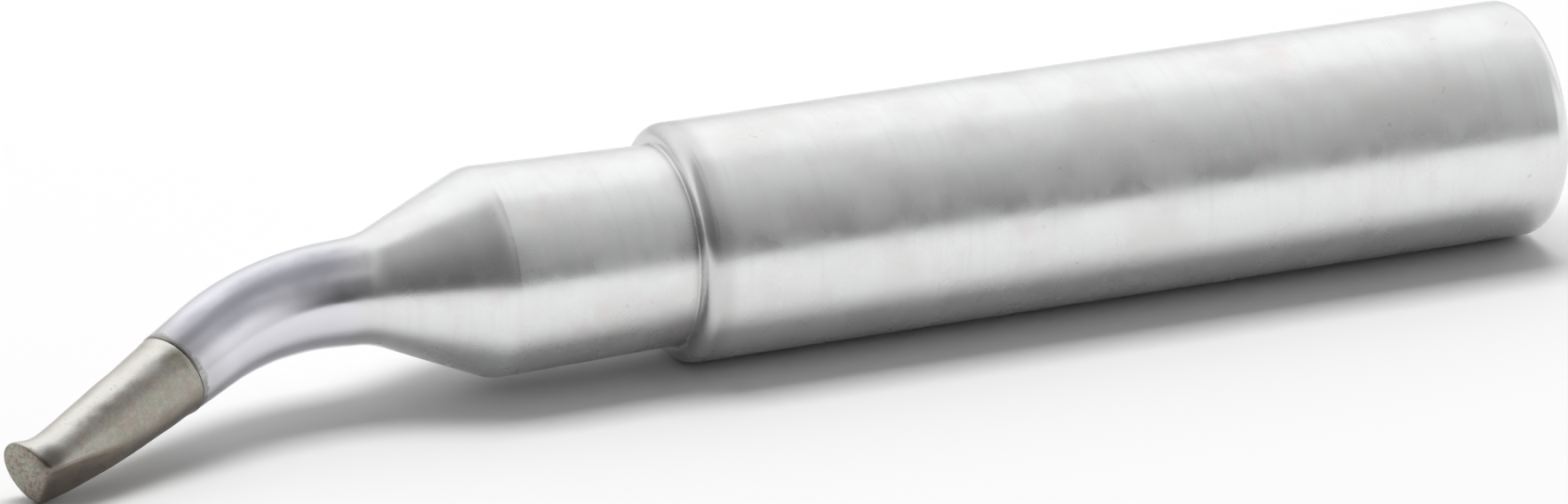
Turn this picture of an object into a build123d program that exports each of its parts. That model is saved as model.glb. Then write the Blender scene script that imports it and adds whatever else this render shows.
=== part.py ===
from build123d import *
import os
from math import asin, cos, radians, sin, tan

# Slip-on soldering tip with a bent working end, turned from one copper bar.
# Millimetres and degrees. The heater bore lies along X with its mouth at X = 0,
# the barrel runs towards -X, and the tip lies on the plane Z = -barrel_dia / 2.

# Barrel, the sleeve that slips over the heater
barrel_dia = 6.5
barrel_length = 25.7
rear_edge_radius = 0.5

# Heater bore, blind, with the cone that a twist drill leaves
barrel_wall = 1.15
bore_past_shoulder = 2.8
drill_point_angle = 118.0

# Shoulder and neck, which widens a little from the shoulder to the cone
shoulder_step = 0.53
shoulder_edge_share = 0.88
neck_flare = 0.13
neck_length = 5.35

# Cone down to the shaft
cone_angle = 23.5
cone_top_radius = 0.8
cone_foot_radius = 2.2

# Shaft, tapered and bent after a short straight run
shaft_rear_dia = 2.92
shaft_front_dia = 2.3
shaft_lead = 1.0
bend_radius = 7.5
bend_angle = 30.0
shaft_after_bend = 1.45

# Tinned working end, a shade slimmer than the shaft where it starts. Its last stretch
# curves back up, and the end is cut almost square to the straight stretch before it.
tinned_step = 0.02
tinned_tip_dia = 1.8
tinned_taper_power = 1.4
tinned_straight = 4.28
tinned_curve = 1.12
counter_bend_angle = 26.8
end_lean = 3.0
tip_overrun = 0.5
tip_edge_radius = 0.12

# Flat ground on the underside of the working end
flat_angle = 13.5
flat_tip_height = 0.56

# Stations of the lofts
shaft_stations = 9
tinned_stations = 15

barrel_radius = barrel_dia / 2
bore_radius = barrel_radius - barrel_wall
bore_depth = barrel_length + bore_past_shoulder
neck_rear_radius = barrel_radius - shoulder_step
neck_front_radius = neck_rear_radius + neck_flare
tinned_rear_dia = shaft_front_dia - 2 * tinned_step
cone_start = barrel_length + neck_length
cone_length = (neck_front_radius - shaft_rear_dia / 2) / tan(radians(cone_angle))
shaft_start = cone_start + cone_length
bend_start = shaft_start + shaft_lead
bend_arc = bend_radius * radians(bend_angle)
shaft_length = shaft_lead + bend_arc + shaft_after_bend
loft_start = shaft_start + shaft_lead / 2
loft_dia = shaft_rear_dia + (shaft_front_dia - shaft_rear_dia) * shaft_lead / 2 / shaft_length
counter_bend_radius = tinned_curve / radians(counter_bend_angle)


def tip_line(plane):
    """Centre line of the shaft and working end, drawn in the plane of the bend."""
    with BuildLine(plane) as path:
        Line((shaft_start, 0), (bend_start, 0))
        bend = JernArc((bend_start, 0), (1, 0), bend_radius, bend_angle)
        run = PolarLine(bend @ 1, shaft_after_bend + tinned_straight, direction=bend % 1)
        counter = JernArc(run @ 1, run % 1, counter_bend_radius, -counter_bend_angle)
        PolarLine(counter @ 1, tip_overrun, direction=counter % 1)
    return path.wire()


def tip_point(line):
    """Middle of the cut end."""
    distance = shaft_length + tinned_straight + tinned_curve
    return line.position_at(distance, position_mode=PositionMode.LENGTH)


def section(line, plane, distance, dia):
    """Round section square to the centre line, at a distance along it."""
    place = Plane(
        origin=line.position_at(distance, position_mode=PositionMode.LENGTH),
        x_dir=plane.z_dir,
        z_dir=line.tangent_at(distance, position_mode=PositionMode.LENGTH),
    )
    return place * Circle(dia / 2)


def tapered_run(line, plane, start, length, dia_start, dia_end, count, power=1.0):
    """Loft of a taper along the centre line, which a power above 1 makes flatten out."""
    sections = []
    for step in range(count):
        k = step / (count - 1)
        dia = dia_end + (dia_start - dia_end) * (1 - k) ** power
        sections.append(section(line, plane, start + length * k, dia))
    return loft(sections)


def turned_body():
    """Barrel, shoulder, neck and cone, with the shaft's straight lead, as one turning."""
    corners = {
        "axis_rear": (0, 0),
        "rear_edge": (0, barrel_radius),
        "shoulder": (-barrel_length, barrel_radius),
        "neck_rear": (-barrel_length, neck_rear_radius),
        "neck_front": (-cone_start, neck_front_radius),
        "cone_foot": (-shaft_start, shaft_rear_dia / 2),
        "lead_end": (-loft_start, loft_dia / 2),
        "axis_front": (-loft_start, 0),
    }
    rounding = {
        "rear_edge": rear_edge_radius,
        "shoulder": shoulder_step * shoulder_edge_share,
        "neck_front": cone_top_radius,
        "cone_foot": cone_foot_radius,
    }
    profile = make_face(Polyline(*corners.values(), close=True))
    for name, radius in rounding.items():
        corner = Vector(*corners[name])
        vertex = profile.vertices().sort_by_distance(corner)[0]
        profile = fillet(vertex, radius)
    return revolve(profile, Axis.X)


def shaft(line, plane):
    """Bent shaft, from the middle of the straight lead to the working end's ledge."""
    lead = shaft_lead / 2
    return tapered_run(
        line, plane, lead, shaft_length - lead, loft_dia, shaft_front_dia, shaft_stations
    )


def working_end(line, plane):
    """Tinned end: a taper, the counter-bend, the square cut, the flat and rounded edges."""
    length = tinned_straight + tinned_curve + tip_overrun
    body = tapered_run(
        line,
        plane,
        shaft_length,
        length,
        tinned_rear_dia,
        tinned_tip_dia,
        tinned_stations,
        tinned_taper_power,
    )
    cut_point = tip_point(line)
    run_direction = line.tangent_at(shaft_length, position_mode=PositionMode.LENGTH)
    across = Axis((0, 0, 0), plane.z_dir)
    end_normal = run_direction.rotate(across, -end_lean)
    body = split(body, Plane(origin=cut_point, x_dir=plane.z_dir, z_dir=end_normal), keep=Keep.BOTTOM)

    # The flat's plane holds the direction square to the bend and leans off the straight run.
    flat_run = run_direction.rotate(across, -flat_angle)
    down = plane.z_dir.cross(flat_run)
    flat_plane = Plane(origin=cut_point + down * flat_tip_height, x_dir=flat_run, z_dir=down)
    body = split(body, flat_plane, keep=Keep.BOTTOM)
    tip_face = body.faces().sort_by_distance(cut_point)[0]
    return fillet(tip_face.edges(), tip_edge_radius)


def heater_bore():
    """Drill that cuts the bore: a cylinder with its point towards the tip."""
    point = -bore_depth - bore_radius / tan(radians(drill_point_angle / 2))
    profile = make_face(
        Polyline((0, 0), (0, bore_radius), (-bore_depth, bore_radius), (point, 0), close=True)
    )
    return revolve(profile, Axis.X)


def resting_plane():
    """Plane of the bend, rolled so that barrel and tip edge touch the same surface."""
    tip_offset = tip_point(tip_line(Plane.XY)).Y
    roll = asin(min(1, (barrel_radius - tinned_tip_dia / 2) / tip_offset))
    return Plane(origin=(0, 0, 0), x_dir=(-1, 0, 0), z_dir=(0, -sin(roll), cos(roll)))


def soldering_tip():
    """The whole tip as one solid."""
    plane = resting_plane()
    line = tip_line(plane)
    body = turned_body() + shaft(line, plane) + working_end(line, plane)
    return body - heater_bore()


if __name__ == "__main__":
    os.makedirs("parts", exist_ok=True)
    export_step(soldering_tip(), "parts/soldering_tip.step")
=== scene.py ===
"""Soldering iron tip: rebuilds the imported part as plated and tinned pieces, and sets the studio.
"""

import logging
import math
from dataclasses import dataclass
from enum import Enum
from typing import Union

import bpy
import numpy as np
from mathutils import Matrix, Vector


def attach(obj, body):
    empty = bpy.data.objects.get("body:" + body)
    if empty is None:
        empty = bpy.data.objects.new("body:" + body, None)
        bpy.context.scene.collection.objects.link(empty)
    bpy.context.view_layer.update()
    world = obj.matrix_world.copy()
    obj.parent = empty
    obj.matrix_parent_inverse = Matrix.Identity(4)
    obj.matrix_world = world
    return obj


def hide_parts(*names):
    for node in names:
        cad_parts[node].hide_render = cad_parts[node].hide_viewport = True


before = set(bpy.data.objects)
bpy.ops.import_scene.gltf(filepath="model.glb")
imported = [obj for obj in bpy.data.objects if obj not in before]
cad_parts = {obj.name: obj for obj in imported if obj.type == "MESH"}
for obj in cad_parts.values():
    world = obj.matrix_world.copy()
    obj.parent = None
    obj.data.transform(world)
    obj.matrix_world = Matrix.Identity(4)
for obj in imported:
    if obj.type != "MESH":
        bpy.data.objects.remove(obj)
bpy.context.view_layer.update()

MM = 0.001
FULL_TURN = 2.0 * math.pi
DEGREES = 180.0 / math.pi

# Distances from the rear face that the classes share, and the straight lead of the shaft
# before its bend, in millimetres
SHOULDER = 25.7
SHAFT_START = 34.247
SHAFT_LEAD = 1.0
LEDGE = 40.624

Colour = tuple[float, float, float, float]
Socket = bpy.types.NodeSocket
Feed = Union[Socket, float, Colour]

log = logging.getLogger("soldering_tip")


class Shade(Enum):
    """How a mesh's faces meet."""

    SMOOTH = "smooth"
    CRISP_EDGES = "crisp edges"


@dataclass(frozen=True)
class Loop:
    """One closed loop of points round the tip.

    Attributes:
        points: one row of x, y and z for each point, in millimetres.
        along: distance of each point from the rear face, along the centre line.
        turned: where each point lies on the unbent tip: run along the surface's profile,
            and the two distances from the axis.
        ground: how the surface was made: zero where turned, one where ground flat and two
            where cut.
    """

    points: np.ndarray
    along: np.ndarray
    turned: np.ndarray
    ground: np.ndarray


@dataclass(frozen=True)
class CentreLine:
    """Centre line of the whole tip: straight, bent, straight, and curving back.

    Attributes:
        bend_start: distance from the rear face to the start of the bend.
        bend_radius: radius of the bend.
        bend_angle: angle of the bend, in degrees.
        straight: length after the bend, up to the counter-bend.
        counter_length: length of the counter-bend.
        counter_angle: angle of the counter-bend, in degrees.
        slope: how far the bend's plane leans down from level, in degrees.
    """

    bend_start: float = SHAFT_START + SHAFT_LEAD
    bend_radius: float = 7.5
    bend_angle: float = 30.0
    straight: float = 5.73
    counter_length: float = 1.12
    counter_angle: float = 26.8
    slope: float = 34.144

    def axis(self) -> np.ndarray:
        """Direction from the rear face towards the tip."""
        return np.array([-1.0, 0.0, 0.0])

    def inward(self) -> np.ndarray:
        """Direction in which the shaft bends away from the axis."""
        lean = math.radians(self.slope)
        return np.array([0.0, -math.cos(lean), -math.sin(lean)])

    def across(self) -> np.ndarray:
        """Direction square to the plane of the bend."""
        return np.cross(self.axis(), self.inward())

    def spokes(self, side: np.ndarray, angles: np.ndarray) -> np.ndarray:
        """Directions out from the line, at angles counted from its inner side."""
        return np.outer(np.cos(angles), side) + np.outer(np.sin(angles), self.across())

    def turned(self, angle: float) -> tuple[np.ndarray, np.ndarray]:
        """Directions after a turn in the plane of the bend.

        Args:
            angle: the turn, in radians.

        Returns:
            The tangent, and the direction to the inside of the bend.
        """
        ahead, inward = self.axis(), self.inward()
        tangent = ahead * math.cos(angle) + inward * math.sin(angle)
        side = inward * math.cos(angle) - ahead * math.sin(angle)
        return tangent, side

    def counter_start(self) -> float:
        """Distance from the rear face to the counter-bend."""
        return self.bend_start + self.bend_radius * math.radians(self.bend_angle) + self.straight

    def counter_radius(self) -> float:
        """Radius of the counter-bend."""
        return self.counter_length / math.radians(self.counter_angle)

    def at(self, along: float) -> tuple[np.ndarray, np.ndarray, np.ndarray]:
        """Place on the line.

        Args:
            along: distance from the rear face, in millimetres.

        Returns:
            The point, the tangent, and the direction to the inside of the bend.
        """
        ahead, inward = self.axis(), self.inward()
        if along <= self.bend_start:
            return ahead * along, ahead, inward
        full = math.radians(self.bend_angle)
        angle = min((along - self.bend_start) / self.bend_radius, full)
        point = ahead * (self.bend_start + self.bend_radius * math.sin(angle))
        point = point + inward * self.bend_radius * (1.0 - math.cos(angle))
        tangent, side = self.turned(angle)
        rest = along - self.bend_start - angle * self.bend_radius
        if rest <= self.straight:
            return point + tangent * rest, tangent, side
        point = point + tangent * self.straight
        radius = self.counter_radius()
        back = (rest - self.straight) / radius
        point = point + tangent * radius * math.sin(back)
        point = point - side * radius * (1.0 - math.cos(back))
        end_tangent, end_side = self.turned(angle - back)
        return point, end_tangent, end_side

    def nearest(self, points: np.ndarray) -> tuple[np.ndarray, np.ndarray]:
        """Nearest place on the line's last straight and counter-bend.

        Args:
            points: one row of x, y and z for each point, in millimetres.

        Returns:
            Distance along the line, and distance from the line, for each point.
        """
        start, tangent, side = self.at(self.counter_start())
        away = points - start
        ahead, inside, out = away @ tangent, away @ side, away @ self.across()
        radius = self.counter_radius()
        back = np.arctan2(ahead, inside + radius)
        straight_along = self.counter_start() + ahead
        bent_along = self.counter_start() + radius * back
        in_plane = np.hypot(ahead, inside + radius) - radius
        along = np.where(ahead < 0.0, straight_along, bent_along)
        off = np.where(ahead < 0.0, inside, in_plane)
        return along, np.hypot(off, out)


@dataclass(frozen=True)
class Corner:
    """Corner of a turned profile.

    Attributes:
        along: distance from the rear face.
        radius: distance from the axis.
        reach: how far before the corner its rounding starts, or zero for a sharp corner.
        easing: one for an arc, more for a rounding that starts gently and ends tightly,
            and less for one that starts tightly and ends gently.
    """

    along: float
    radius: float
    reach: float = 0.0
    easing: float = 1.0

    def place(self) -> np.ndarray:
        """The corner as a point of the profile."""
        return np.array([self.along, self.radius])


def rounded_profile(corners: list[Corner], steps: int) -> list[tuple[float, float]]:
    """Turned profile with its corners rounded.

    Args:
        corners: the corners, in order.
        steps: points on each rounded corner, less one.

    Returns:
        Pairs of distance from the rear face and distance from the axis.
    """
    moves_per_step = 8
    profile: list[tuple[float, float]] = []
    for index, corner in enumerate(corners):
        here = corner.place()
        if corner.reach == 0.0:
            profile.append((corner.along, corner.radius))
            continue
        before = here - corners[index - 1].place()
        after = corners[index + 1].place() - here
        before = before / np.linalg.norm(before)
        after = after / np.linalg.norm(after)
        normal = np.array([-before[1], before[0]])
        turn = math.atan2(float(after @ normal), float(after @ before))
        move_count = steps * moves_per_step
        shares = (np.arange(move_count) + 0.5) / move_count
        angles = turn * shares**corner.easing
        moves = np.outer(np.cos(angles), before) + np.outer(np.sin(angles), normal)
        path = np.cumsum(moves, axis=0) / move_count
        path = np.vstack([[0.0, 0.0], path])[::moves_per_step]
        reaches = np.linalg.solve(np.column_stack([before, after]), path[-1])
        scale = corner.reach / reaches[0]
        for point in here - before * corner.reach + path * scale:
            profile.append((float(point[0]), float(point[1])))
    return profile


@dataclass
class MeshMaker:
    """Turns loops of points into one closed mesh.

    Attributes:
        loops: the loops, in order along the tip.
        first_pole: point that closes the mesh before the first loop.
        last_pole: point that closes it after the last loop.
        crisp_angle: angle between faces above which an edge stays crisp, in degrees.
    """

    loops: list[Loop]
    first_pole: np.ndarray
    last_pole: np.ndarray
    crisp_angle: float = 38.0

    def faces(self, segments: int) -> list[tuple[int, ...]]:
        """Faces between the loops and out to the poles.

        Args:
            segments: points on each loop.

        Returns:
            Corner indices of each face.
        """
        faces: list[tuple[int, ...]] = []
        count = len(self.loops) * segments
        for row in range(len(self.loops) - 1):
            for k in range(segments):
                here = row * segments + k
                beside = row * segments + (k + 1) % segments
                faces.append((here, beside, beside + segments, here + segments))
        for k in range(segments):
            beside = (k + 1) % segments
            faces.append((count, beside, k))
            faces.append((count + 1, count - segments + k, count - segments + beside))
        return faces

    def spread(self, values: list[np.ndarray]) -> np.ndarray:
        """One value for each vertex, where a pole takes its own loop's mean."""
        ends = [values[0].mean(axis=0)[None], values[-1].mean(axis=0)[None]]
        return np.concatenate([*values, *ends]).astype(np.float32)

    def build(self, name: str, shade: Shade) -> bpy.types.Object:
        """Makes the object.

        Args:
            name: name of the object and its mesh.
            shade: how its faces meet.

        Returns:
            The new object, linked to the scene.
        """
        segments = len(self.loops[0].points)
        rows = [loop.points for loop in self.loops]
        points = np.concatenate([*rows, [self.first_pole], [self.last_pole]]) * MM
        mesh = bpy.data.meshes.new(name)
        mesh.from_pydata([tuple(point) for point in points], [], self.faces(segments))
        mesh.validate()
        mesh.shade_smooth()
        if shade is Shade.CRISP_EDGES:
            mesh.set_sharp_from_angle(angle=math.radians(self.crisp_angle))
        along = mesh.attributes.new("along", "FLOAT", "POINT")
        along.data.foreach_set("value", self.spread([loop.along for loop in self.loops]))
        ground = mesh.attributes.new("ground", "FLOAT", "POINT")
        ground.data.foreach_set("value", self.spread([loop.ground for loop in self.loops]))
        turned = mesh.attributes.new("turned", "FLOAT_VECTOR", "POINT")
        turned.data.foreach_set("vector", self.spread([loop.turned for loop in self.loops]).ravel())
        mesh.update()
        piece = bpy.data.objects.new(name, mesh)
        bpy.context.scene.collection.objects.link(piece)
        return piece


@dataclass(frozen=True)
class Grain:
    """Size and character of a noise.

    Attributes:
        scale: how fine it is.
        detail: octaves.
        rough: strength of the finer octaves.
    """

    scale: float
    detail: float
    rough: float


@dataclass(frozen=True)
class Fade:
    """Smooth change from one value to another, flat on either side.

    Attributes:
        low: input at which it starts.
        high: input at which it ends.
        start: output at the start.
        end: output at the end.
    """

    low: float
    high: float
    start: float = 0.0
    end: float = 1.0

    def after(self, place: float) -> "Fade":
        """The same fade, with its inputs counted from a place."""
        return Fade(place + self.low, place + self.high, self.start, self.end)


class Nodes:
    """Short way to wire the nodes of one material or world."""

    # Places of a mix node's colour sockets, which come after those for numbers and vectors
    MIX_FIRST = 6
    MIX_SECOND = 7
    MIX_RESULT = 2

    def __init__(self, tree: bpy.types.NodeTree) -> None:
        """Starts on an empty tree.

        Args:
            tree: the node tree to fill.
        """
        self.tree = tree
        self.tree.nodes.clear()

    def add(self, kind: str, **settings: object) -> bpy.types.Node:
        """Adds a node and sets its properties.

        Args:
            kind: the node's type.
            settings: its properties, by name.

        Returns:
            The node.
        """
        node = self.tree.nodes.new(kind)
        for key, value in settings.items():
            setattr(node, key, value)
        return node

    def link(self, source: Socket, target: Socket) -> None:
        """Joins two sockets."""
        self.tree.links.new(source, target)

    def feed(self, value: Feed, socket: Socket) -> None:
        """Sets a socket to a number or links it to another socket.

        Args:
            value: a number, a colour or an output socket.
            socket: the input socket.
        """
        if isinstance(value, Socket):
            self.link(value, socket)
        else:
            socket.default_value = value

    def noise(self, where: Socket, grain: Grain) -> Socket:
        """Noise over the surface.

        Args:
            where: coordinates.
            grain: size and character of the noise.

        Returns:
            The factor socket.
        """
        node = self.add("ShaderNodeTexNoise")
        self.link(where, node.inputs["Vector"])
        node.inputs["Scale"].default_value = grain.scale
        node.inputs["Detail"].default_value = grain.detail
        node.inputs["Roughness"].default_value = grain.rough
        return node.outputs["Fac"]

    def stretch(self, where: Socket, scale: tuple[float, float, float]) -> Socket:
        """Coordinates scaled by axis.

        Args:
            where: coordinates.
            scale: the three factors.

        Returns:
            The vector socket.
        """
        node = self.add("ShaderNodeMapping")
        self.link(where, node.inputs["Vector"])
        node.inputs["Scale"].default_value = scale
        return node.outputs["Vector"]

    def ramp(self, value: Socket, fade: Fade) -> Socket:
        """Carries a value through a fade.

        Args:
            value: the input.
            fade: the change that it goes through.

        Returns:
            The result socket.
        """
        node = self.add("ShaderNodeMapRange", interpolation_type="SMOOTHSTEP")
        self.feed(value, node.inputs["Value"])
        node.inputs["From Min"].default_value = fade.low
        node.inputs["From Max"].default_value = fade.high
        node.inputs["To Min"].default_value = fade.start
        node.inputs["To Max"].default_value = fade.end
        return node.outputs["Result"]

    def math(self, operation: str, first: Feed, second: Feed = 0.0) -> Socket:
        """Result of a sum on one or two values.

        Args:
            operation: the sum.
            first: first value.
            second: second value, where the sum has one.

        Returns:
            The value socket.
        """
        node = self.add("ShaderNodeMath", operation=operation)
        self.feed(first, node.inputs[0])
        self.feed(second, node.inputs[1])
        return node.outputs[0]

    def mix(self, factor: Feed, first: Feed, second: Feed) -> Socket:
        """Colour between two colours.

        Args:
            factor: share of the second.
            first: a colour or colour socket.
            second: a colour or colour socket.

        Returns:
            The colour socket.
        """
        node = self.add("ShaderNodeMix", data_type="RGBA")
        self.feed(factor, node.inputs[0])
        self.feed(first, node.inputs[self.MIX_FIRST])
        self.feed(second, node.inputs[self.MIX_SECOND])
        return node.outputs[self.MIX_RESULT]

    def bump(self, height: Socket, strength: float, distance: float) -> Socket:
        """Normal of a surface with small hills.

        Args:
            height: height of the surface, from zero to one.
            strength: how much of the effect is kept.
            distance: height that one stands for, in metres.

        Returns:
            The normal socket.
        """
        node = self.add("ShaderNodeBump")
        node.inputs["Strength"].default_value = strength
        node.inputs["Distance"].default_value = distance
        self.link(height, node.inputs["Height"])
        return node.outputs["Normal"]

    def attribute(self, name: str, output: str) -> Socket:
        """Output socket of one of the mesh's attributes."""
        node = self.add("ShaderNodeAttribute", attribute_name=name)
        return node.outputs[output]

    def degrees_round(self, turned: Socket) -> Socket:
        """Angle round the unbent tip: zero on its upper side, and more down the front.

        Args:
            turned: place on the unbent tip.

        Returns:
            The angle, in degrees.
        """
        split = self.add("ShaderNodeSeparateXYZ")
        self.link(turned, split.inputs[0])
        angle = self.math("ARCTAN2", split.outputs[1], split.outputs[2])
        return self.math("MULTIPLY", angle, DEGREES)

    def curve(self, value: Socket, tones: tuple[tuple[float, float], ...], span: float) -> Socket:
        """Brightness along a row of tones.

        Args:
            value: place on the row, from zero to one.
            tones: pairs of place, on a scale of its own, and brightness.
            span: the place that stands for one.

        Returns:
            The brightness socket.
        """
        node = self.add("ShaderNodeValToRGB")
        node.color_ramp.interpolation = "LINEAR"
        stops = node.color_ramp.elements
        stops[0].position, stops[1].position = 0.0, 1.0
        for place, _ in tones[1:-1]:
            stops.new(place / span)
        for stop, (_, tone) in zip(stops, tones):
            stop.color = (tone, tone, tone, 1.0)
        self.link(value, node.inputs["Fac"])
        return node.outputs["Color"]

    def surface(self) -> bpy.types.Node:
        """Metal shader joined to the material's output.

        Returns:
            The shader.
        """
        shader = self.add("ShaderNodeBsdfPrincipled")
        output = self.add("ShaderNodeOutputMaterial")
        self.link(shader.outputs["BSDF"], output.inputs["Surface"])
        shader.inputs["Metallic"].default_value = 1.0
        return shader


def grey(value: float, warmth: float = 0.0) -> Colour:
    """Grey with a touch of warmth or, below zero, of blue."""
    return (value * (1.0 + warmth), value, value * (1.0 - warmth), 1.0)


@dataclass(frozen=True)
class PlatedFinish:
    """Bright satin plating: turning marks, stains, an oxide ring by the tin, and painted shade.

    Attributes:
        clean: reflectance of clean plating.
        cloud: reflectance of the soft cloudy patches.
        stain: colour of the faint copper-pink stains.
        speck_and_shade: colour of the small dark specks, and of the painted shade on the shoulder's
            edge.
        shaft: colour of the shaft, coloured by heat tinting.
        band_shade: colour of the painted shade, a dark reflection band painted along the shaft.
        oxide: colour of the oxide ring beside the tin.
        bore: colour inside the heater bore.
        heat_start: distance from the rear face to where the heat tinting starts.
        ledge: distance from the rear face to the working end's ledge.
        shoulder: distance from the rear face to the shoulder.
        bore_reach: radius inside which the surface can only be the bore's.
        bore_limit: distance from the rear face by which the bore has ended.
        bore_dullness: roughness added inside the bore.
        clouds: noise of the cloudy patches.
        cloud_fade: share of the cloud's colour, by that noise.
        streaks: noise of the turning streaks.
        streak_stretch: how fine it is along the tip, and in both directions across it.
        streak_fade: share of the cloud's colour, by that noise.
        stains: noise of the stains.
        stain_fade: share of the stain's colour, by that noise.
        specks: noise of the specks.
        speck_fade: share of the speck's colour, by that noise.
        speck_clouds: share of the specks that shows, by the clouds' noise.
        shaft_fade: how the heat tinting sets in, from its start.
        band_shade_noise: noise that bends the band of painted shade.
        band_shade_wander: how far it moves the band, in degrees.
        band_shade_top: upper edge of the band, in degrees round the tip.
        band_shade_bottom: lower edge of the band.
        band_shade_fade: how the band sets in, from where the heat tinting starts.
        shoulder_shade_onset: how the painted shade on the shoulder's edge sets in, from the
            shoulder.
        shoulder_shade_clearing: how it clears again.
        shoulder_shade_share: how much of the speck_and_shade colour is painted there as shade.
        ring_noise: noise that bends the oxide ring.
        ring_wander: how far it moves the ring.
        ring_fade: how the ring sets in, from the ledge.
        oxide_fade: how the thin oxide before it sets in.
        haze: noise of the hazy patches.
        haze_roughness: roughness of the plating, by that noise.
        shaft_polish: roughness taken off the shaft, from its start.
        marks: noise of the turning marks.
        mark_stretch: how fine it is along the tip, and in both directions across it.
        mark_strength: strength of the marks.
        mark_height: height of the marks, in metres.
    """

    clean: Colour = grey(0.83, -0.006)
    cloud: Colour = grey(0.77, 0.004)
    stain: Colour = (0.78, 0.69, 0.67, 1.0)
    speck_and_shade: Colour = (0.40, 0.38, 0.38, 1.0)
    shaft: Colour = (0.745, 0.745, 0.795, 1.0)
    band_shade: Colour = (0.30, 0.30, 0.36, 1.0)
    oxide: Colour = (0.30, 0.29, 0.27, 1.0)
    bore: Colour = (0.42, 0.40, 0.38, 1.0)
    heat_start: float = 34.2
    ledge: float = LEDGE
    shoulder: float = SHOULDER
    bore_reach: float = 2.12
    bore_limit: float = 30.7
    bore_dullness: float = 0.2
    clouds: Grain = Grain(0.55, 3.0, 0.5)
    cloud_fade: Fade = Fade(0.42, 0.68)
    streaks: Grain = Grain(1.0, 2.0, 0.5)
    streak_stretch: tuple[float, float, float] = (4.5, 0.35, 0.35)
    streak_fade: Fade = Fade(0.48, 0.75, 0.0, 0.55)
    stains: Grain = Grain(0.9, 3.0, 0.5)
    stain_fade: Fade = Fade(0.60, 0.72, 0.0, 0.28)
    specks: Grain = Grain(4.0, 2.0, 0.5)
    speck_fade: Fade = Fade(0.68, 0.78, 0.0, 0.30)
    speck_clouds: Fade = Fade(0.44, 0.56)
    shaft_fade: Fade = Fade(0.0, 1.6)
    band_shade_noise: Grain = Grain(0.7, 3.0, 0.5)
    band_shade_wander: Fade = Fade(0.3, 0.7, -5.0, 5.0)
    band_shade_top: Fade = Fade(-36.0, -12.0)
    band_shade_bottom: Fade = Fade(0.0, 34.0, 1.0, 0.0)
    band_shade_fade: Fade = Fade(-0.6, 1.6, 0.0, 0.66)
    shoulder_shade_onset: Fade = Fade(-1.0, -0.5)
    shoulder_shade_clearing: Fade = Fade(-0.02, 0.3, 1.0, 0.0)
    shoulder_shade_share: float = 0.32
    ring_noise: Grain = Grain(3.0, 3.0, 0.6)
    ring_wander: Fade = Fade(0.3, 0.7, -0.12, 0.08)
    ring_fade: Fade = Fade(-0.22, -0.04, 0.0, 0.85)
    oxide_fade: Fade = Fade(-1.3, -0.2, 0.0, 0.3)
    haze: Grain = Grain(0.8, 3.0, 0.5)
    haze_roughness: Fade = Fade(0.35, 0.7, 0.245, 0.325)
    shaft_polish: Fade = Fade(-1.0, 1.0, 0.0, -0.07)
    marks: Grain = Grain(1.0, 2.0, 0.5)
    mark_stretch: tuple[float, float, float] = (3.5, 0.4, 0.4)
    mark_strength: float = 0.04
    mark_height: float = 0.000012

    def inside_bore(self, nodes: Nodes, turned: Socket, along: Socket) -> Socket:
        """Mask of the bore's wall.

        Args:
            nodes: the material's nodes.
            turned: place on the unbent tip.
            along: distance from the rear face.

        Returns:
            One inside the bore and zero elsewhere.
        """
        split = nodes.add("ShaderNodeSeparateXYZ")
        nodes.link(turned, split.inputs[0])
        square = nodes.math("POWER", split.outputs[1], 2.0)
        square = nodes.math("ADD", square, nodes.math("POWER", split.outputs[2], 2.0))
        near = nodes.math("LESS_THAN", square, self.bore_reach**2)
        behind = nodes.math("LESS_THAN", along, self.bore_limit)
        return nodes.math("MULTIPLY", near, behind)

    def band_shade_mask(self, nodes: Nodes, turned: Socket, along: Socket) -> Socket:
        """Mask of the painted shade, a dark reflection band along the upper front of the shaft.

        Args:
            nodes: the material's nodes.
            turned: place on the unbent tip.
            along: distance from the rear face.

        Returns:
            The share of the tint.
        """
        wander = nodes.ramp(nodes.noise(turned, self.band_shade_noise), self.band_shade_wander)
        degrees = nodes.math("ADD", nodes.degrees_round(turned), wander)
        top = nodes.ramp(degrees, self.band_shade_top)
        bottom = nodes.ramp(degrees, self.band_shade_bottom)
        start = nodes.ramp(along, self.band_shade_fade.after(self.heat_start))
        return nodes.math("MULTIPLY", start, nodes.math("MULTIPLY", top, bottom))

    def plating(self, nodes: Nodes, turned: Socket) -> Socket:
        """Colour of the plating with its clouds, streaks, stains and specks.

        Args:
            nodes: the material's nodes.
            turned: place on the unbent tip.

        Returns:
            The colour socket.
        """
        clouds = nodes.noise(turned, self.clouds)
        streaks = nodes.noise(nodes.stretch(turned, self.streak_stretch), self.streaks)
        stains = nodes.ramp(nodes.noise(turned, self.stains), self.stain_fade)
        specks = nodes.ramp(nodes.noise(turned, self.specks), self.speck_fade)
        specks = nodes.math("MULTIPLY", specks, nodes.ramp(clouds, self.speck_clouds))
        base = nodes.mix(nodes.ramp(clouds, self.cloud_fade), self.clean, self.cloud)
        base = nodes.mix(nodes.ramp(streaks, self.streak_fade), base, self.cloud)
        base = nodes.mix(stains, base, self.stain)
        return nodes.mix(specks, base, self.speck_and_shade)

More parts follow.
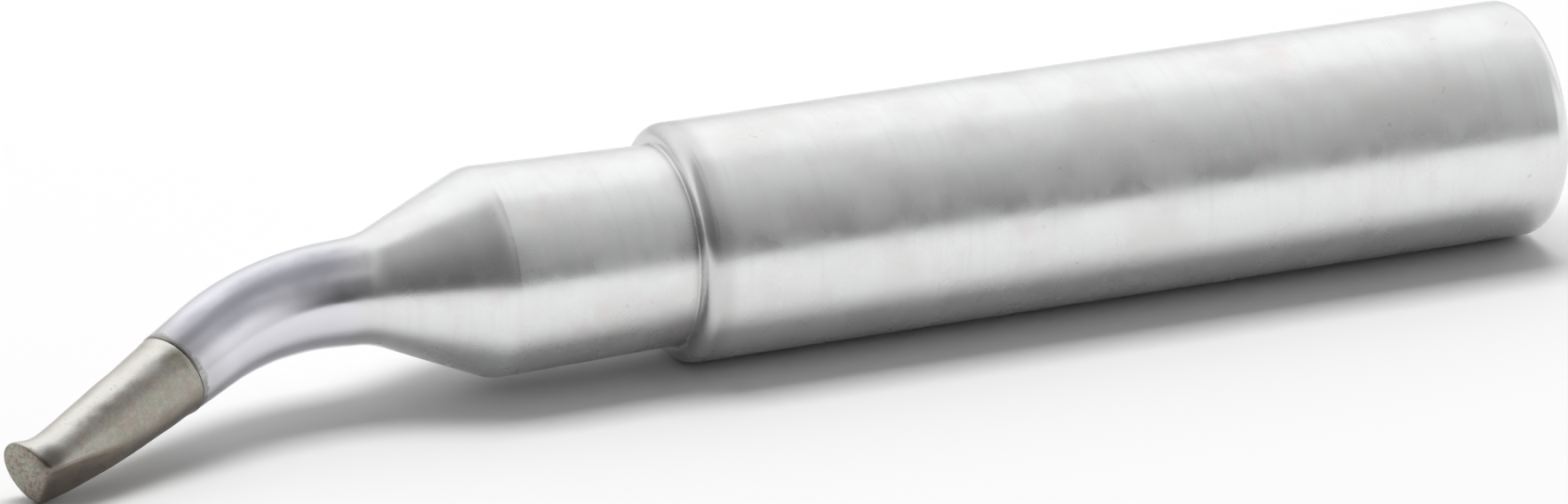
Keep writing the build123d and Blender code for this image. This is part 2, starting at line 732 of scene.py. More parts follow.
    def colour(self, nodes: Nodes, turned: Socket, along: Socket) -> Socket:
        """Colour of the whole piece.

        Args:
            nodes: the material's nodes.
            turned: place on the unbent tip.
            along: distance from the rear face.

        Returns:
            The colour socket.
        """
        base = self.plating(nodes, turned)
        heated = nodes.ramp(along, self.shaft_fade.after(self.heat_start))
        base = nodes.mix(heated, base, self.shaft)
        # Painted shade: a dark reflection band painted along the upper front of the shaft
        base = nodes.mix(self.band_shade_mask(nodes, turned, along), base, self.band_shade)
        # Painted shade: a dark reflection crescent painted on the barrel's end, up to the
        # shoulder's rounding
        shoulder_shading = nodes.ramp(along, self.shoulder_shade_onset.after(self.shoulder))
        clearing = nodes.ramp(along, self.shoulder_shade_clearing.after(self.shoulder))
        edge = nodes.math("MULTIPLY", shoulder_shading, clearing)
        base = nodes.mix(nodes.math("MULTIPLY", edge, self.shoulder_shade_share), base, self.speck_and_shade)
        base = nodes.mix(nodes.ramp(along, self.oxide_fade.after(self.ledge)), base, self.oxide)
        wander = nodes.ramp(nodes.noise(turned, self.ring_noise), self.ring_wander)
        ring = nodes.ramp(nodes.math("ADD", along, wander), self.ring_fade.after(self.ledge))
        base = nodes.mix(ring, base, self.oxide)
        return nodes.mix(self.inside_bore(nodes, turned, along), base, self.bore)

    def material(self) -> bpy.types.Material:
        """Makes the material.

        Returns:
            The new material.
        """
        material = bpy.data.materials.new("bright_plating")
        material.use_nodes = True
        nodes = Nodes(material.node_tree)
        shader = nodes.surface()
        turned = nodes.attribute("turned", "Vector")
        along = nodes.attribute("along", "Fac")
        nodes.link(self.colour(nodes, turned, along), shader.inputs["Base Color"])
        rough = nodes.ramp(nodes.noise(turned, self.haze), self.haze_roughness)
        polish = nodes.ramp(along, self.shaft_polish.after(self.heat_start))
        rough = nodes.math("ADD", rough, polish)
        duller = nodes.math("MULTIPLY", self.inside_bore(nodes, turned, along), self.bore_dullness)
        nodes.link(nodes.math("ADD", rough, duller), shader.inputs["Roughness"])
        marks = nodes.noise(nodes.stretch(turned, self.mark_stretch), self.marks)
        hills = nodes.bump(marks, self.mark_strength, self.mark_height)
        nodes.link(hills, shader.inputs["Normal"])
        return material


@dataclass(frozen=True)
class TinnedFinish:
    """Dull tin on the working end: mottled by flux, browner where ground, with painted light and
    shade.

    Attributes:
        bare_and_highlight: colour of unfilmed tin flecks, and of the painted highlight along the
            top.
        film: colour of the flux film on the front.
        olive: colour of the olive patches.
        rust: colour of the pink-brown patches.
        brown: colour of the painted shade on the underside.
        ground: colour of the ground flat.
        facet: colour of the cut end.
        soot_and_shade: colour of the sooty specks, and of the painted dark line and patch.
        patches: noise of the larger patches.
        mottle: noise of the mottling.
        grit: noise of the fine grit.
        wander: how far the patches move the bands along the tip, in degrees.
        film_olive: share of olive in the film, by the patches.
        film_rust: share of pink-brown in it, by the mottling.
        film_bare: share of unfilmed tin in it, by the grit.
        underside_shade_fade: share of the brown painted shade in it, by the degrees round the tip.
        highlight_top: upper edge of the painted highlight band, in degrees.
        highlight_bottom: lower edge of the painted highlight band.
        dark_line_top: upper edge of the painted dark reflection line below it, in degrees.
        dark_line_bottom: lower edge of the painted dark line.
        dark_line_share: how dark the painted line is.
        flat_rust: share of pink-brown on the flat, by the mottling.
        flat_fade: how the turned tin gives way to the flat.
        cut_olive: share of olive on the cut end, by the patches.
        cut_rust: share of pink-brown on it, by the mottling.
        cut_soot: share of soot on it, by the grit.
        cut_fade: how the flat gives way to the cut end.
        dark_patch_middle: middle of the painted dark reflection beside the cut end, in millimetres.
        dark_patch_noise: noise that makes the patch's edge ragged.
        dark_patch_ragged: how far it moves the edge, in metres.
        dark_patch_fade: how dark the patch is, by the distance in metres.
        grit_soot: share of soot all over, by the grit.
        roughness: roughness, by the mottling.
        cut_dullness: roughness added on the cut end.
        grit_height: height of the grit, as a share of the mottling's.
        hill_strength: strength of the unevenness.
        hill_height: height of the unevenness, in metres.
    """

    bare_and_highlight: Colour = (0.76, 0.745, 0.70, 1.0)
    film: Colour = (0.41, 0.395, 0.355, 1.0)
    olive: Colour = (0.37, 0.365, 0.30, 1.0)
    rust: Colour = (0.40, 0.33, 0.285, 1.0)
    brown: Colour = (0.20, 0.175, 0.145, 1.0)
    ground: Colour = (0.30, 0.262, 0.22, 1.0)
    facet: Colour = (0.31, 0.295, 0.245, 1.0)
    soot_and_shade: Colour = (0.12, 0.11, 0.10, 1.0)
    patches: Grain = Grain(900.0, 5.0, 0.6)
    mottle: Grain = Grain(2600.0, 5.0, 0.65)
    grit: Grain = Grain(9000.0, 4.0, 0.7)
    wander: Fade = Fade(0.3, 0.7, -6.0, 6.0)
    film_olive: Fade = Fade(0.42, 0.58)
    film_rust: Fade = Fade(0.46, 0.62, 0.0, 0.75)
    film_bare: Fade = Fade(0.46, 0.62, 0.0, 0.18)
    underside_shade_fade: Fade = Fade(42.0, 88.0, 0.0, 0.85)
    highlight_top: Fade = Fade(-62.0, -26.0, 0.35, 1.0)
    highlight_bottom: Fade = Fade(-22.0, 6.0, 1.0, 0.0)
    dark_line_top: Fade = Fade(-16.0, 4.0)
    dark_line_bottom: Fade = Fade(4.0, 26.0, 1.0, 0.0)
    dark_line_share: float = 0.4
    flat_rust: Fade = Fade(0.4, 0.7, 0.0, 0.5)
    flat_fade: Fade = Fade(0.2, 0.8)
    cut_olive: Fade = Fade(0.42, 0.6)
    cut_rust: Fade = Fade(0.44, 0.58, 0.0, 0.9)
    cut_soot: Fade = Fade(0.46, 0.62, 0.0, 0.55)
    cut_fade: Fade = Fade(1.2, 1.8)
    dark_patch_middle: tuple[float, float, float] = (-44.63, -4.119, -1.729)
    dark_patch_noise: Grain = Grain(3200.0, 3.0, 0.6)
    dark_patch_ragged: float = 0.0003
    dark_patch_fade: Fade = Fade(0.0003, 0.0007, 0.75, 0.0)
    grit_soot: Fade = Fade(0.58, 0.72, 0.0, 0.4)
    roughness: Fade = Fade(0.3, 0.7, 0.26, 0.38)
    cut_dullness: Fade = Fade(1.2, 1.8, 0.0, 0.18)
    grit_height: float = 0.3
    hill_strength: float = 0.24
    hill_height: float = 0.00003

    def painted_dark_patch(self, nodes: Nodes, where: Socket) -> Socket:
        """Mask of the painted dark reflection beside the cut end, with a ragged edge.

        Args:
            nodes: the material's nodes.
            where: place on the tip, in metres.

        Returns:
            The share of soot.
        """
        gap = nodes.add("ShaderNodeVectorMath", operation="DISTANCE")
        nodes.link(where, gap.inputs[0])
        gap.inputs[1].default_value = Vector(self.dark_patch_middle) * MM
        ragged = nodes.math("MULTIPLY", nodes.noise(where, self.dark_patch_noise), self.dark_patch_ragged)
        reach = nodes.math("ADD", gap.outputs["Value"], ragged)
        return nodes.ramp(reach, self.dark_patch_fade)

    def turned_tin(self, nodes: Nodes, patches: Socket, mottle: Socket, grit: Socket) -> Socket:
        """Colour of the turned tin: filmed on the front, with painted light and shade.

        A painted highlight runs along the top, with a painted dark line below it, and painted
        brown shade covers the underside.

        Args:
            nodes: the material's nodes.
            patches: noise of the larger patches.
            mottle: noise of the mottling.
            grit: noise of the grit.

        Returns:
            The colour socket.
        """
        degrees = nodes.degrees_round(nodes.attribute("turned", "Vector"))
        degrees = nodes.math("ADD", degrees, nodes.ramp(patches, self.wander))
        film = nodes.mix(nodes.ramp(patches, self.film_olive), self.film, self.olive)
        film = nodes.mix(nodes.ramp(mottle, self.film_rust), film, self.rust)
        film = nodes.mix(nodes.ramp(grit, self.film_bare), film, self.bare_and_highlight)
        # Painted shade: the underside darkened to brown, by the degrees round the tip
        film = nodes.mix(nodes.ramp(degrees, self.underside_shade_fade), film, self.brown)
        # Painted highlight: a bright band painted along the top of the tin
        painted_highlight = nodes.math(
            "MULTIPLY", nodes.ramp(degrees, self.highlight_top), nodes.ramp(degrees, self.highlight_bottom)
        )
        # Painted reflection: a dark line painted below the highlight
        line = nodes.math(
            "MULTIPLY", nodes.ramp(degrees, self.dark_line_top), nodes.ramp(degrees, self.dark_line_bottom)
        )
        base = nodes.mix(painted_highlight, film, self.bare_and_highlight)
        return nodes.mix(nodes.math("MULTIPLY", line, self.dark_line_share), base, self.soot_and_shade)

    def cut_end(self, nodes: Nodes, patches: Socket, mottle: Socket, grit: Socket) -> Socket:
        """Colour of the cut end.

        Args:
            nodes: the material's nodes.
            patches: noise of the larger patches.
            mottle: noise of the mottling.
            grit: noise of the grit.

        Returns:
            The colour socket.
        """
        end = nodes.mix(nodes.ramp(patches, self.cut_olive), self.facet, self.olive)
        end = nodes.mix(nodes.ramp(mottle, self.cut_rust), end, self.rust)
        return nodes.mix(nodes.ramp(grit, self.cut_soot), end, self.soot_and_shade)

    def material(self) -> bpy.types.Material:
        """Makes the material.

        Returns:
            The new material.
        """
        material = bpy.data.materials.new("mottled_tin")
        material.use_nodes = True
        nodes = Nodes(material.node_tree)
        shader = nodes.surface()
        where = nodes.add("ShaderNodeTexCoord").outputs["Object"]
        worked = nodes.attribute("ground", "Fac")
        patches = nodes.noise(where, self.patches)
        mottle = nodes.noise(where, self.mottle)
        grit = nodes.noise(where, self.grit)
        base = self.turned_tin(nodes, patches, mottle, grit)
        flat = nodes.mix(nodes.ramp(mottle, self.flat_rust), self.ground, self.rust)
        base = nodes.mix(nodes.ramp(worked, self.flat_fade), base, flat)
        end = self.cut_end(nodes, patches, mottle, grit)
        base = nodes.mix(nodes.ramp(worked, self.cut_fade), base, end)
        # Painted reflection: a dark patch painted beside the cut end
        base = nodes.mix(self.painted_dark_patch(nodes, where), base, self.soot_and_shade)
        base = nodes.mix(nodes.ramp(grit, self.grit_soot), base, self.soot_and_shade)
        nodes.link(base, shader.inputs["Base Color"])
        rough = nodes.ramp(mottle, self.roughness)
        rough = nodes.math("ADD", rough, nodes.ramp(worked, self.cut_dullness))
        nodes.link(rough, shader.inputs["Roughness"])
        height = nodes.math("ADD", mottle, nodes.math("MULTIPLY", grit, self.grit_height))
        hills = nodes.bump(height, self.hill_strength, self.hill_height)
        nodes.link(hills, shader.inputs["Normal"])
        return material


@dataclass
class PlatedBody:
    """Barrel, neck, cone and bent shaft, with the heater bore, as one plated piece.

    Attributes:
        line: centre line of the tip.
        barrel_radius: outer radius of the barrel.
        shoulder: distance from the rear face to the shoulder.
        neck_rear_radius: radius of the neck at the shoulder.
        neck_front_radius: radius of the neck at the cone.
        cone_start: distance to the cone.
        shaft_start: distance to the shaft.
        shaft_rear_radius: radius of the shaft at the cone.
        shaft_front_radius: radius of the shaft at the ledge.
        ledge: distance to the working end's ledge.
        bore_radius: radius of the heater bore.
        bore_depth: depth of the bore's wall.
        bore_point: depth of the drill point.
        mouth_rounding: rounding of the bore's mouth, before the corner.
        rear_rounding: rounding of the rear edge.
        shoulder_rounding: rounding of the shoulder.
        neck_fillet: fillet between the shoulder and the neck.
        cone_rounding: rounding of the cone's top edge.
        cone_easing: below one, because that rounding starts tightly and ends gently.
        foot_fillet: fillet at the foot of the cone.
        ledge_rounding: rounding of the ledge.
        ledge_depth: how far the shaft's end reaches in under the tin.
        corner_steps: steps on each rounded corner.
        straight_step: longest step along the barrel, the neck and the cone.
        shaft_step: longest step along the shaft.
        segments: points round each loop.
    """

    line: CentreLine
    barrel_radius: float = 3.25
    shoulder: float = SHOULDER
    neck_rear_radius: float = 2.72
    neck_front_radius: float = 2.85
    cone_start: float = 31.05
    shaft_start: float = SHAFT_START
    shaft_rear_radius: float = 1.46
    shaft_front_radius: float = 1.15
    ledge: float = LEDGE
    bore_radius: float = 2.1
    bore_depth: float = 28.5
    bore_point: float = 29.76
    mouth_rounding: float = 0.05
    rear_rounding: float = 0.5
    shoulder_rounding: float = 0.45
    neck_fillet: float = 0.07
    cone_rounding: float = 0.2
    cone_easing: float = 0.55
    foot_fillet: float = 0.4
    ledge_rounding: float = 0.04
    ledge_depth: float = 0.2
    corner_steps: int = 16
    straight_step: float = 0.8
    shaft_step: float = 0.12
    segments: int = 224

    def loop(self, along: float, radius: float, run: float) -> Loop:
        """Round loop square to the centre line.

        Args:
            along: distance from the rear face.
            radius: radius of the loop.
            run: length of the surface's profile up to the loop.

        Returns:
            The loop.
        """
        centre, _, side = self.line.at(along)
        angles = np.linspace(0.0, FULL_TURN, self.segments, endpoint=False)
        runs = np.full(self.segments, run)
        turned = np.column_stack([runs, radius * np.cos(angles), radius * np.sin(angles)])
        return Loop(
            points=centre + self.line.spokes(side, angles) * radius,
            along=np.full(self.segments, along),
            turned=turned,
            ground=np.zeros(self.segments),
        )

    def profile(self) -> list[tuple[float, float]]:
        """Profile from the bore's bottom, round the rear face, to the ledge.

        Returns:
            Pairs of distance and radius.
        """
        corners = [
            Corner(self.bore_depth, self.bore_radius),
            Corner(0.0, self.bore_radius, self.mouth_rounding),
            Corner(0.0, self.barrel_radius, self.rear_rounding),
            Corner(self.shoulder, self.barrel_radius, self.shoulder_rounding),
            Corner(self.shoulder, self.neck_rear_radius, self.neck_fillet),
            Corner(self.cone_start, self.neck_front_radius, self.cone_rounding, self.cone_easing),
            Corner(self.shaft_start, self.shaft_rear_radius, self.foot_fillet),
            Corner(self.ledge, self.shaft_front_radius, self.ledge_rounding),
            Corner(self.ledge, self.shaft_front_radius - self.ledge_depth),
        ]
        return rounded_profile(corners, self.corner_steps)

    def loops(self) -> list[Loop]:
        """Loops along the profile, with more of them on long stretches.

        Returns:
            The loops, in order.
        """
        loops: list[Loop] = []
        profile = self.profile()
        run = 0.0
        for (a0, r0), (a1, r1) in zip(profile, profile[1:]):
            step = self.shaft_step if a1 > self.shaft_start else self.straight_step
            pieces = max(1, math.ceil(abs(a1 - a0) / step))
            length = math.hypot(a1 - a0, r1 - r0)
            for k in range(pieces):
                share = k / pieces
                loops.append(
                    self.loop(a0 + (a1 - a0) * share, r0 + (r1 - r0) * share, run + length * share)
                )
            run += length
        loops.append(self.loop(profile[-1][0], profile[-1][1], run))
        return loops

    def build(self, finish: PlatedFinish) -> bpy.types.Object:
        """Makes and dresses the piece.

        Args:
            finish: the plating.

        Returns:
            The piece.
        """
        first = self.line.at(self.bore_point)[0]
        last = self.line.at(self.ledge)[0]
        piece = MeshMaker(self.loops(), first, last).build("plated_body", Shade.CRISP_EDGES)
        piece.data.materials.append(finish.material())
        return piece


@dataclass(frozen=True)
class Wave:
    """One wave of the tin's slight unevenness.

    Attributes:
        share: its height against the first wave's.
        turns: whole waves round the tip.
        along: how fast it turns along the tip, in radians for each millimetre.
        phase: its phase at the rear face, in radians.
    """

    share: float
    turns: float
    along: float
    phase: float

    def at(self, along: np.ndarray, angle: np.ndarray) -> np.ndarray:
        """Height of the wave at places along and round the tip."""
        return self.share * np.sin(self.turns * angle + self.along * along + self.phase)


@dataclass
class WorkingEnd:
    """Tinned working end: a lip, a taper, the counter-bend, the cut end and the ground flat.

    Attributes:
        line: centre line of the tip.
        start: distance from the rear face to the ledge.
        length: length from the ledge to the middle of the cut end.
        taper_length: length over which the taper runs, past the cut.
        rear_radius: radius at the ledge.
        end_radius: radius at the end of the taper.
        taper_power: how much the taper flattens out, one for a straight taper.
        lip: height of the tin's lip at the ledge.
        lip_place: distance of the lip's crest from the ledge.
        lip_width: half-width of the lip.
        sag: how far the tin sags below the shaft at the lip.
        sag_length: distance over which the sag dies away.
        edge_depth: how far the tin's edge is rounded down at the ledge.
        edge_length: length of that rounding.
        ripple: height of the slight unevenness of the tin.
        waves: the waves that it is made of.
        end_lean: lean of the cut from square to the straight run, in degrees.
        flat_slope: lean of the flat from the straight run, in degrees.
        flat_height: distance of the flat from the middle of the cut end.
        rim: width of the rounding round the cut end.
        flat_edge: width of the rounding along the flat.
        hub: how far before the cut end the end cap's rays start.
        ray_length: length of the rays, which is more than they need.
        halvings: how often a ray is halved to find the surface.
        segments: points round each loop.
        edge_loops: loops on the rounding at the ledge.
        body_loops: loops from there to the end cap.
        cap_loops: loops on the end cap.
    """

    line: CentreLine
    start: float = LEDGE
    length: float = 5.4
    taper_length: float = 5.9
    rear_radius: float = 1.13
    end_radius: float = 0.9
    taper_power: float = 1.4
    lip: float = 0.02
    lip_place: float = 0.12
    lip_width: float = 0.16
    sag: float = 0.035
    sag_length: float = 0.7
    edge_depth: float = 0.025
    edge_length: float = 0.06
    ripple: float = 0.006
    waves: tuple[Wave, ...] = (
        Wave(share=1.0, turns=3.0, along=2.3, phase=0.0),
        Wave(share=0.7, turns=5.0, along=-3.1, phase=1.0),
        Wave(share=0.6, turns=2.0, along=5.3, phase=2.0),
    )
    end_lean: float = 3.0
    flat_slope: float = 13.5
    flat_height: float = 0.56
    rim: float = 0.17
    flat_edge: float = 0.13
    hub: float = 0.8
    ray_length: float = 2.2
    halvings: int = 36
    segments: int = 256
    edge_loops: int = 10
    body_loops: int = 119
    cap_loops: int = 64

    def end_point(self) -> np.ndarray:
        """Middle of the cut end."""
        return self.line.at(self.start + self.length)[0]

    def radius(self, along: np.ndarray, angle: np.ndarray, down: np.ndarray) -> np.ndarray:
        """Radius of the tin before the flat is ground.

        Args:
            along: distance from the rear face.
            angle: angle round the tip, in radians.
            down: how far each spoke points down, from minus one to one.

        Returns:
            The radius at each point.
        """
        past = along - self.start
        share = np.clip(past / self.taper_length, 0.0, 1.0)
        narrowing = self.rear_radius - self.end_radius
        taper = self.end_radius + narrowing * (1.0 - share) ** self.taper_power
        lip = self.lip * np.exp(-(((past - self.lip_place) / self.lip_width) ** 2))
        sag = self.sag * down * np.exp(-np.maximum(past, 0.0) / self.sag_length)
        short = 1.0 - np.clip(past / self.edge_length, 0.0, 1.0)
        edge = self.edge_depth * (1.0 - np.sqrt(np.clip(1.0 - short**2, 0.0, 1.0)))
        ripple = sum(wave.at(along, angle) for wave in self.waves)
        return taper + lip + sag - edge + self.ripple * ripple

    def outside(self, points: np.ndarray) -> tuple[np.ndarray, np.ndarray]:
        """How far points lie outside the finished end.

        Args:
            points: one row of x, y and z for each point, in millimetres.

        Returns:
            The distance, below zero inside, and what made the surface there: zero for the
            turned tin, one for the ground flat and two for the cut.
        """
        along, off = self.line.nearest(points)
        _, _, side = self.line.at(self.start)
        across = self.line.across()
        out = points - self.line.at(self.start)[0]
        angle = np.arctan2(out @ across, out @ side)
        down = -(np.cos(angle) * side[2] + np.sin(angle) * across[2])
        turned = off - self.radius(along, angle, down)
        lean = math.radians(self.line.bend_angle - self.flat_slope)
        flat_normal = self.line.turned(lean)[1]
        flat = (points - self.end_point()) @ flat_normal - self.flat_height
        end_normal = self.line.turned(math.radians(self.line.bend_angle - self.end_lean))[0]
        cut = (points - self.end_point()) @ end_normal
        body = smooth_max(turned, flat, self.flat_edge)
        ground = np.clip(0.5 + (flat - turned) / self.flat_edge, 0.0, 1.0)
        facet = np.clip(0.5 + (cut - body) / (self.rim * 0.5), 0.0, 1.0)
        return smooth_max(body, cut, self.rim), ground * (1.0 - facet) + 2.0 * facet

    def cast(self, hub: np.ndarray, rays: np.ndarray) -> Loop:
        """Loop where rays from a point inside meet the surface.

        Args:
            hub: the point inside.
            rays: one unit direction for each point of the loop.

        Returns:
            The loop.
        """
        near = np.zeros(len(rays))
        far = np.full(len(rays), self.ray_length)
        for _ in range(self.halvings):
            middle = (near + far) / 2.0
            inside = self.outside(hub + rays * middle[:, None])[0] < 0.0
            near = np.where(inside, middle, near)
            far = np.where(inside, far, middle)
        points = hub + rays * near[:, None]
        along, _ = self.line.nearest(points)
        _, _, side = self.line.at(self.start)
        out = points - self.line.at(self.start)[0]
        turned = np.column_stack([along, out @ side, out @ self.line.across()])
        return Loop(points=points, along=along, turned=turned, ground=self.outside(points)[1])

    def loops(self) -> list[Loop]:
        """Loops from the ledge to the middle of the cut end.

        Returns:
            The loops, in order.
        """
        angles = np.linspace(0.0, FULL_TURN, self.segments, endpoint=False)
        hub_along = self.start + self.length - self.hub
        edge_shares = np.arange(1, self.edge_loops + 1) / self.edge_loops
        edge_places = self.start + self.edge_length * edge_shares**2
        edge_end = self.start + self.edge_length
        body_places = np.linspace(edge_end, hub_along, self.body_loops + 1)[1:]
        loops: list[Loop] = []
        for along in [*edge_places, *body_places]:
            centre, _, side = self.line.at(float(along))
            loops.append(self.cast(centre, self.line.spokes(side, angles)))
        centre, tangent, side = self.line.at(hub_along)
        spokes = self.line.spokes(side, angles)
        for step in range(1, self.cap_loops):
            lift = math.radians(90.0) * step / self.cap_loops
            loops.append(self.cast(centre, spokes * math.cos(lift) + tangent * math.sin(lift)))
        return loops

    def build(self, finish: TinnedFinish) -> bpy.types.Object:
        """Makes and dresses the piece.

        Args:
            finish: the tin.

        Returns:
            The piece.
        """
        loops = self.loops()
        first = self.line.at(self.start)[0]
        centre, tangent, _ = self.line.at(self.start + self.length - self.hub)
        last = self.cast(centre, np.array([tangent])).points[0]
        piece = MeshMaker(loops, first, last).build("tinned_end", Shade.SMOOTH)
        piece.data.materials.append(finish.material())
        return piece


@dataclass(frozen=True)
class Patch:
    """Soft-edged patch of the sky that is darker than the rest.

    Attributes:
        side: how far to the right its middle lies, from -1 to 1.
        height: height of its middle above the front horizon, in degrees.
        width: half-width, on the scale of side.
        reach: half-height, in degrees.
        share: how much of the light it takes away at its middle.
        core: share of its half-width that is evenly dark.
    """

    side: float
    height: float
    width: float
    reach: float
    share: float
    core: float = 0.5

    def keep(self, nodes: Nodes, aside: Socket, degrees: Socket) -> Socket:
        """Share of the light that the patch lets through.

        Args:
            nodes: the world's nodes.
            aside: how far to the right a direction points.
            degrees: its height above the front horizon.

        Returns:
            The share socket.
        """
        across = nodes.math("DIVIDE", nodes.math("SUBTRACT", aside, self.side), self.width)
        above = nodes.math("DIVIDE", nodes.math("SUBTRACT", degrees, self.height), self.reach)
        away = nodes.math("ADD", nodes.math("POWER", across, 2.0), nodes.math("POWER", above, 2.0))
        return nodes.ramp(away, Fade(self.core**2, 1.0, 1.0 - self.share, 1.0))


@dataclass(frozen=True)
class Sky:
    """Soft light all round: grey in front, brighter overhead and behind.

    Attributes:
        tones: pairs of height above the front horizon, in degrees, and brightness.
        gain: brightness that a tone of one stands for.
        patches: darker patches, where the camera and its arm keep the light off.
        right_glow: brightness added on the right, by how far to the right a direction points.
        right_fade: share of that glow, by the height in degrees.
        left_fade: brightness of the left front against the middle, by how far to the right.
        overhead: how the left grows as bright as the rest, by the height in degrees.
    """

    tones: tuple[tuple[float, float], ...] = (
        (0.0, 0.06),
        (12.0, 0.13),
        (24.0, 0.22),
        (40.0, 0.30),
        (57.0, 0.44),
        (70.0, 0.58),
        (84.0, 0.67),
        (97.0, 0.73),
        (104.0, 0.88),
        (145.0, 0.90),
        (165.0, 0.76),
        (180.0, 0.52),
    )
    gain: float = 1.25
    patches: tuple[Patch, ...] = (
        Patch(side=0.21, height=12.0, width=0.15, reach=50.0, share=0.50),
        Patch(side=0.18, height=86.0, width=0.17, reach=32.0, share=0.35),
    )
    right_glow: Fade = Fade(0.43, 0.56, 0.0, 0.55)
    right_fade: Fade = Fade(30.0, 70.0, 1.0, 0.0)
    left_fade: Fade = Fade(-0.28, 0.12, 0.53, 1.0)
    overhead: Fade = Fade(82.0, 112.0)

    def build(self) -> bpy.types.World:
        """Makes the world.

        Returns:
            The new world.
        """
        world = bpy.data.worlds.new("soft_studio")
        bpy.context.scene.world = world
        world.use_nodes = True
        nodes = Nodes(world.node_tree)
        split = nodes.add("ShaderNodeSeparateXYZ")
        nodes.link(nodes.add("ShaderNodeTexCoord").outputs["Generated"], split.inputs[0])
        aside = split.outputs[0]
        front = nodes.math("MULTIPLY", split.outputs[1], -1.0)
        angle = nodes.math("ARCTAN2", split.outputs[2], front)
        degrees = nodes.math("MULTIPLY", angle, DEGREES)
        highest = self.tones[-1][0]
        strength = nodes.curve(nodes.math("DIVIDE", degrees, highest), self.tones, highest)
        for patch in self.patches:
            strength = nodes.math("MULTIPLY", strength, patch.keep(nodes, aside, degrees))
        right = nodes.ramp(aside, self.right_glow)
        low = nodes.ramp(degrees, self.right_fade)
        strength = nodes.math("ADD", strength, nodes.math("MULTIPLY", right, low))
        left = nodes.ramp(aside, self.left_fade)
        overhead = nodes.ramp(degrees, self.overhead)
        strength = nodes.math("MULTIPLY", strength, nodes.math("MAXIMUM", left, overhead))
        strength = nodes.math("MULTIPLY", strength, self.gain)
        light = nodes.add("ShaderNodeBackground")
        light.inputs["Color"].default_value = (1.0, 1.0, 1.0, 1.0)
        nodes.link(strength, light.inputs["Strength"])
        output = nodes.add("ShaderNodeOutputWorld")
        nodes.link(light.outputs[0], output.inputs["Surface"])
        return world


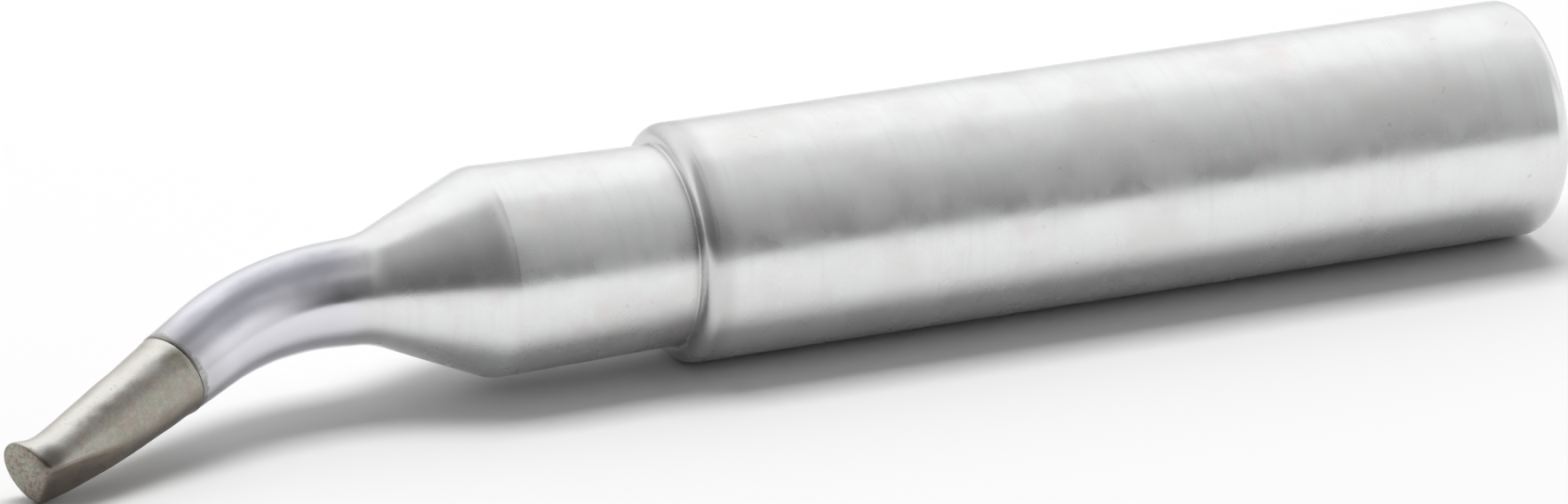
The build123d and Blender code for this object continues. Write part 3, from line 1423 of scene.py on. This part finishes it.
@dataclass
class Studio:
    """Plain floor, one wide soft lamp and the camera.

    Attributes:
        target: point that the camera looks at, in millimetres.
        azimuth: turn of the camera round the vertical, in degrees.
        elevation: height of the camera above level, in degrees.
        distance: distance of the camera from the target, in millimetres.
        lens: focal length on the sensor, in millimetres.
        sensor: width of the sensor, in millimetres.
        shift_right: how far to the right of the target the camera aims, in millimetres.
        shift_up: how far above the target it aims, in millimetres.
        floor_height: level of the floor, in millimetres.
        floor_half: half the floor's width, in metres.
        floor_tone: how pale the floor is.
        floor_roughness: roughness of the floor.
        lamp_place: place of the lamp, in metres.
        lamp_width: width of the lamp, in metres.
        lamp_depth: depth of the lamp, in metres.
        lamp_power: power of the lamp, in watts.
    """

    target: tuple[float, float, float] = (-23.0, -1.0, 0.0)
    azimuth: float = -23.454
    elevation: float = 20.400
    distance: float = 327.122
    lens: float = 280.64
    sensor: float = 36.0
    shift_right: float = 0.404
    shift_up: float = -0.245
    floor_height: float = -3.25
    floor_half: float = 3.0
    floor_tone: float = 0.65
    floor_roughness: float = 0.9
    lamp_place: tuple[float, float, float] = (-0.023, 0.065, 0.45)
    lamp_width: float = 0.35
    lamp_depth: float = 0.2
    lamp_power: float = 1.85

    def camera(self) -> bpy.types.Object:
        """Places the camera at the photograph's angle.

        Returns:
            The camera object.
        """
        turn, lift = math.radians(self.azimuth), math.radians(self.elevation)
        back = Vector(
            (math.sin(turn) * math.cos(lift), -math.cos(turn) * math.cos(lift), math.sin(lift))
        )
        right = Vector((math.cos(turn), math.sin(turn), 0.0))
        up = back.cross(right)
        aim = Vector(self.target) + right * self.shift_right + up * self.shift_up
        data = bpy.data.cameras.new("studio_camera")
        data.sensor_width = self.sensor
        data.lens = self.lens
        data.clip_start = 0.01
        data.clip_end = 100.0
        camera = bpy.data.objects.new("studio_camera", data)
        camera.location = (aim + back * self.distance) * MM
        camera.rotation_euler = (-back).to_track_quat("-Z", "Y").to_euler()
        bpy.context.scene.collection.objects.link(camera)
        bpy.context.scene.camera = camera
        return camera

    def floor(self) -> bpy.types.Object:
        """Makes the plain pale floor.

        Returns:
            The floor object.
        """
        half, level = self.floor_half, self.floor_height * MM
        flat_corners = [(-half, -half), (half, -half), (half, half), (-half, half)]
        corners = [(x, y, level) for x, y in flat_corners]
        mesh = bpy.data.meshes.new("floor")
        mesh.from_pydata(corners, [], [(0, 1, 2, 3)])
        floor = bpy.data.objects.new("floor", mesh)
        bpy.context.scene.collection.objects.link(floor)
        material = bpy.data.materials.new("pale_floor")
        material.use_nodes = True
        shader = Nodes(material.node_tree).surface()
        shader.inputs["Metallic"].default_value = 0.0
        shader.inputs["Roughness"].default_value = self.floor_roughness
        shader.inputs["Specular IOR Level"].default_value = 0.0
        shader.inputs["Base Color"].default_value = grey(self.floor_tone)
        mesh.materials.append(material)
        return floor

    def lamp(self) -> bpy.types.Object:
        """Hangs one wide soft lamp above the tip, too soft to show as a highlight.

        Returns:
            The lamp object.
        """
        data = bpy.data.lights.new("overhead", "AREA")
        data.shape = "RECTANGLE"
        data.size = self.lamp_width
        data.size_y = self.lamp_depth
        data.energy = self.lamp_power
        lamp = bpy.data.objects.new("overhead", data)
        lamp.location = self.lamp_place
        aim = Vector((self.target[0], 0.0, 0.0)) * MM
        lamp.rotation_euler = (Vector(self.lamp_place) - aim).to_track_quat("Z", "Y").to_euler()
        lamp.visible_glossy = False
        bpy.context.scene.collection.objects.link(lamp)
        return lamp


def smooth_max(first: np.ndarray, second: np.ndarray, width: float) -> np.ndarray:
    """Greater of two values, rounded where they cross.

    Args:
        first: one set of values.
        second: the other set.
        width: width of the rounding.

    Returns:
        The rounded maximum.
    """
    overlap = np.maximum(width - np.abs(first - second), 0.0) / width
    return np.maximum(first, second) + overlap * overlap * width / 4.0


def add_piece(piece: bpy.types.Object) -> None:
    """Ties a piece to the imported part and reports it.

    Args:
        piece: the piece.
    """
    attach(piece, "root")
    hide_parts("soldering_tip")
    log.info("%s: %d faces", piece.name, len(piece.data.polygons))


def main() -> None:
    """Builds the pieces, the studio and the camera."""
    line = CentreLine()
    add_piece(PlatedBody(line).build(PlatedFinish()))
    add_piece(WorkingEnd(line).build(TinnedFinish()))
    studio = Studio()
    studio.camera()
    studio.floor()
    studio.lamp()
    Sky().build()
    bpy.context.scene.view_settings.view_transform = "Standard"
    log.info("studio ready")


if __name__ == "__main__":
    logging.basicConfig(level=logging.INFO)
    main()
